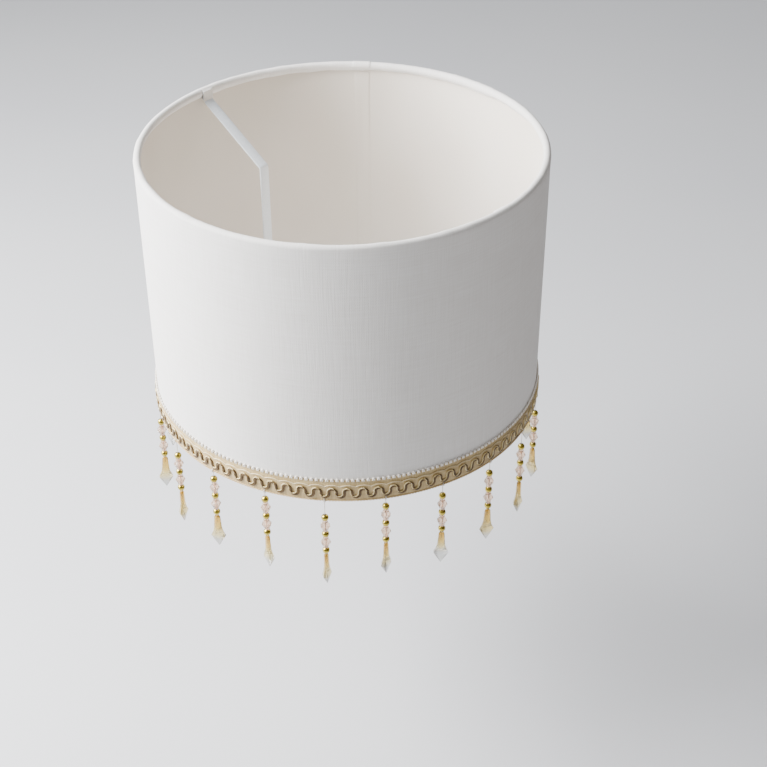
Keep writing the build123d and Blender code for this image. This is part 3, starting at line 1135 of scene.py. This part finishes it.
# %% Stitched line above the waves
SCALLOP = 0.55
scallop_half = radians(28)
scallop_radius = WAVE_PITCH / 2 / sin(scallop_half)
scallop_z = wave_high.z / MM + 1.7
bpy.ops.mesh.primitive_circle_add(vertices=6, radius=SCALLOP / 2 * MM, fill_type="NOTHING")
scallop = begin("braid_stitched_line")
bpy.ops.transform.rotate(value=pi / 2, orient_axis="Y", center_override=(0, 0, 0))
bpy.ops.transform.rotate(value=scallop_half, orient_axis="Y", center_override=(0, 0, 0))
centre_z = -scallop_radius * cos(scallop_half)
bpy.ops.mesh.spin(
    steps=6,
    angle=-2 * scallop_half,
    center=(scallop_radius * sin(scallop_half) * MM, 0, centre_z * MM),
    axis=(0, 1, 0),
)
close_up(scallop)
scallop.data.transform(Matrix.Translation((-bend_radius * 2 * MM, 0, scallop_z * MM)))
wrap(scallop, TAPE_RADIUS + 0.12)
repeat_round(scallop, WAVES)
move_points(scallop, glued_by_hand)
report(scallop)

# %% Header band under the loops
HEADER_HEIGHT, HEADER_THICK = 2.2, 0.55
header_low = tape_high.z / MM - 0.3
header_high = header_low + HEADER_HEIGHT
header_section = (
    (TAPE_INNER + HEADER_THICK, header_low),
    (TAPE_INNER + HEADER_THICK + 0.1, (header_low + header_high) / 2),
    (TAPE_INNER + HEADER_THICK, header_high),
    (TAPE_INNER, header_high),
    (TAPE_INNER, header_low),
    (TAPE_INNER + HEADER_THICK, header_low),
)
header = spin_up(outline("braid_header", header_section), 340)
move_points(header, glued_by_hand)
shape_with(header, "BEVEL", width=0.12 * MM, segments=2, limit_method="ANGLE", angle_limit=radians(50))
report(header)

# %% Pearly loops
LOOPS = WAVES * 3
LOOP_CORD = 1.1
loop_half = 0.48
loop_base = header_high - 0.5
loop_leg = 1.0
loop = cord_section(LOOP_CORD, LOOP_CORD, (-loop_half, 0))
run_up(loop_leg)
turn_round((0, loop_leg), pi, 5)
run_up(-loop_leg)
close_up(loop)
loop.data.transform(Matrix.Translation((0, 0, loop_base * MM)))
wrap(loop, TAPE_INNER + 0.1 + LOOP_CORD / 2)
repeat_round(loop, LOOPS)
loop.name = "braid_pearl_loops"
move_points(loop, glued_by_hand)
report(loop)

# %% [markdown]
# Each strand's thread is taken twice round the lip and pulled tight. Two rings, crossed a little,
# stand for the two turns: at half a millimetre thick, their knot would not be seen.

# %% Turns of thread round the lip
TURN_RADIUS = LIP_THICK / 2 + THREAD / 2 + 0.1
TURN_APART, TURN_CROSSED = 0.3, 14  # each turn's place beside the strand, and its slant in degrees
bpy.ops.mesh.primitive_torus_add(
    major_segments=14, minor_segments=6, major_radius=TURN_RADIUS * MM, minor_radius=THREAD / 2 * MM
)
turn = begin("turn")
bpy.ops.transform.rotate(value=pi / 2, orient_axis="X", center_override=(0, 0, 0))
close_up(turn)
turns = []
for number in range(1, STRANDS + 1):
    top = strand_joints(number)[0]
    faced = Matrix.Rotation(atan2(top.y, top.x), 4, "Z")
    at_lip = Matrix.Translation((top.x, top.y, lip_middle_z * MM)) @ faced
    for side in (1, -1):
        beside = Matrix.Translation((0, side * TURN_APART * MM, 0))
        crossed = beside @ Matrix.Rotation(radians(side * TURN_CROSSED), 4, "X")
        turns.append(copy_to(turn, "turn", at_lip @ crossed))
turns = join(turns, "strand_turns")
remove(turn)
move_points(turns, glued_by_hand)
report(turns)

# %% [markdown]
# The tape is rayon wound round thin cords, so it shows fine upright ribs with a soft shine. The
# lip and the loops are the same yarn left bright. The wave is lurex, a metal film, worn so that the
# gold comes and goes along it, and is drawn as two yarns: a brown one, its own colour with painted
# shade on the cord's lower side, and a bright one, a painted highlight on its upper side.

# %% Rayon and lurex
BRAID_JOIN = 140.0  # where the pattern's join falls, degrees


def rayon(name, low, high, rib_pitch, rib_bump):
    """Satin yarn wound in upright ribs, from its darker to its lighter tint."""
    material = new_material(name)
    tree = material.node_tree
    place = round_the_drum(tree, TAPE_RADIUS, BRAID_JOIN)
    ribs = stretched_noise(tree, place, (rib_pitch, 9, 1), detail=2)
    uneven = stretched_noise(tree, place, (7, 3, 1), detail=2)
    tinted = add_node(tree, "ShaderNodeMath", {0: ribs, 1: uneven}, operation="ADD")
    shares = add_node(tree, "ShaderNodeMapRange", {0: tinted.outputs[0], 1: 0.75, 2: 1.25})
    return finish_material(
        material,
        {
            "Base Color": ramp(tree, shares.outputs[0], [(0.0, low), (1.0, high)]),
            "Roughness": 0.5,
            "Sheen Weight": 0.3,
            "Sheen Roughness": 0.4,
            "Normal": bump(tree, ribs, rib_bump),
        },
    )


cream_rayon = rayon("cream_rayon_tape", "#ae925f", "#cbb37e", 0.6, 0.18)
lip_rayon = rayon("cream_rayon_cord", "#bb9a62", "#d6bb86", 0.5, 0.08)
pearl_rayon = rayon("pearl_rayon_loops", "#e4dccd", "#f7f2ea", 0.4, 0.05)
stitch_rayon = rayon("pale_gold_rayon_stitches", "#d4bf8e", "#eddfb6", 0.5, 0.08)

PLY_PITCH = 1.1


def lurex(name, tints, metallic):
    """Metal film yarn: wound plies that glint, worn unevenly along the cord."""
    material = new_material(name)
    tree = material.node_tree
    wound = round_the_drum(tree, TAPE_RADIUS, BRAID_JOIN)
    along = add_node(tree, "ShaderNodeSeparateXYZ", {0: wound})
    both_ways = {0: along.outputs[0], 1: along.outputs[1]}
    slanted = add_node(tree, "ShaderNodeMath", both_ways, operation="ADD")
    turns_by = 2 * pi / PLY_PITCH
    ply = add_node(tree, "ShaderNodeMath", {0: slanted.outputs[0], 1: turns_by}, operation="MULTIPLY")
    plies = add_node(tree, "ShaderNodeMath", {0: ply.outputs[0]}, operation="SINE").outputs[0]
    worn = stretched_noise(tree, wound, (2.5, 2.5, 1), detail=3)
    mixed = add_node(tree, "ShaderNodeMath", {0: plies, 1: 0.25, 2: worn}, operation="MULTIPLY_ADD")
    return finish_material(
        material,
        {
            "Base Color": ramp(tree, mixed.outputs[0], tints),
            "Metallic": metallic,
            "Roughness": 0.4,
            "Normal": bump(tree, plies, 0.12),
        },
    )


# Painted light: the bronze tints carry painted shade on the cord's lower side, and the bright tints are a
# painted highlight on its lit upper side.
BRONZE_AND_SHADE_TINTS = [(0.3, "#3f2d14"), (0.55, "#604824"), (0.8, "#8a6c3c")]
PAINTED_HIGHLIGHT_TINTS = [(0.3, "#d2b878"), (0.55, "#e8d6a2"), (0.8, "#f7ecca")]
bronze_lurex_and_shade = lurex("bronze_lurex_yarn", BRONZE_AND_SHADE_TINTS, metallic=0.2)
painted_highlight_lurex = lurex("bright_gold_lurex_yarn", PAINTED_HIGHLIGHT_TINTS, metallic=0.6)
place_piece(tape, "drum", cream_rayon, ["braid_tape"])
place_piece(header, "drum", cream_rayon, ["braid_picot_edge"])
place_piece(lip, "drum", lip_rayon, ["braid_lip"], smooth=60)
place_piece(wave, "drum", bronze_lurex_and_shade, ["braid_wave_cord"], smooth=60)
place_piece(painted_highlight_wave, "drum", painted_highlight_lurex, ["braid_wave_cord"], smooth=60)
place_piece(scallop, "drum", stitch_rayon, smooth=60)
place_piece(turns, "drum", nylon, smooth=60)
place_piece(loop, "drum", pearl_rayon, ["braid_picot_edge"], smooth=60)

# %% [markdown]
# ## The room
# A plain pale floor, as far below the shade as the lamp's foot would stand, a large soft light on
# the left, like a window, and a weak light from all round, which is brighter and cooler towards
# the window and dimmer and warmer away from it.

# %% Floor and lights
FLOOR_Z = -0.325
bpy.ops.mesh.primitive_plane_add(size=9, location=(0, 0, FLOOR_Z))
floor = bpy.context.object
floor.name = "floor"
floor_paint = new_material("pale_floor_paint")
tree = floor_paint.node_tree
cloud = stretched_noise(tree, object_mm(tree), (400, 400, 400), detail=2)
floor.data.materials.append(
    finish_material(
        floor_paint,
        {"Base Color": ramp(tree, cloud, [(0.2, "#cfd0d3"), (0.8, "#d6d7d8")]), "Roughness": 0.7},
    )
)

sight = Vector((cos(CAMERA_HEADING), sin(CAMERA_HEADING), 0))
to_right = sight.cross(Vector((0, 0, 1)))


def soft_light(name, right, back, height, size, watts, colour):
    """A square softbox aimed at the drum, placed as the photographer would say it."""
    data = bpy.data.lights.new(name, "AREA")
    data.size = size
    data.energy = watts
    data.color = linear(colour)[:3]
    light = bpy.data.objects.new(name, data)
    light.location = to_right * right + sight * back + Vector((0, 0, height))
    light.rotation_euler = (-light.location).to_track_quat("-Z", "Y").to_euler()
    bpy.context.scene.collection.objects.link(light)


soft_light("window", right=-0.95, back=-0.05, height=0.6, size=0.9, watts=80, colour="#fdfdff")
SKY_TINTS = [(0.15, "#c79f7c"), (0.6, "#eceff4"), (1.0, "#f4f7fb")]
world = bpy.data.worlds.new("room_light")
world.use_nodes = True
tree = world.node_tree
tree.nodes.clear()
way = add_node(tree, "ShaderNodeTexCoord").outputs["Generated"]
brightest = Vector((0, 0, 0.6)) - to_right * 0.8
nearness = add_node(tree, "ShaderNodeVectorMath", {0: way, 1: tuple(brightest)}, operation="DOT_PRODUCT")
share_left = add_node(tree, "ShaderNodeMapRange", {0: nearness.outputs["Value"], 1: -1.0, 2: 1.0})
strength = add_node(tree, "ShaderNodeMapRange", {0: share_left.outputs[0], 3: 0.08, 4: 0.8})
glow = add_node(
    tree,
    "ShaderNodeBackground",
    {
        "Color": ramp(tree, share_left.outputs[0], SKY_TINTS),
        "Strength": strength.outputs[0],
    },
)
add_node(tree, "ShaderNodeOutputWorld", {"Surface": glow.outputs[0]})
bpy.context.scene.world = world
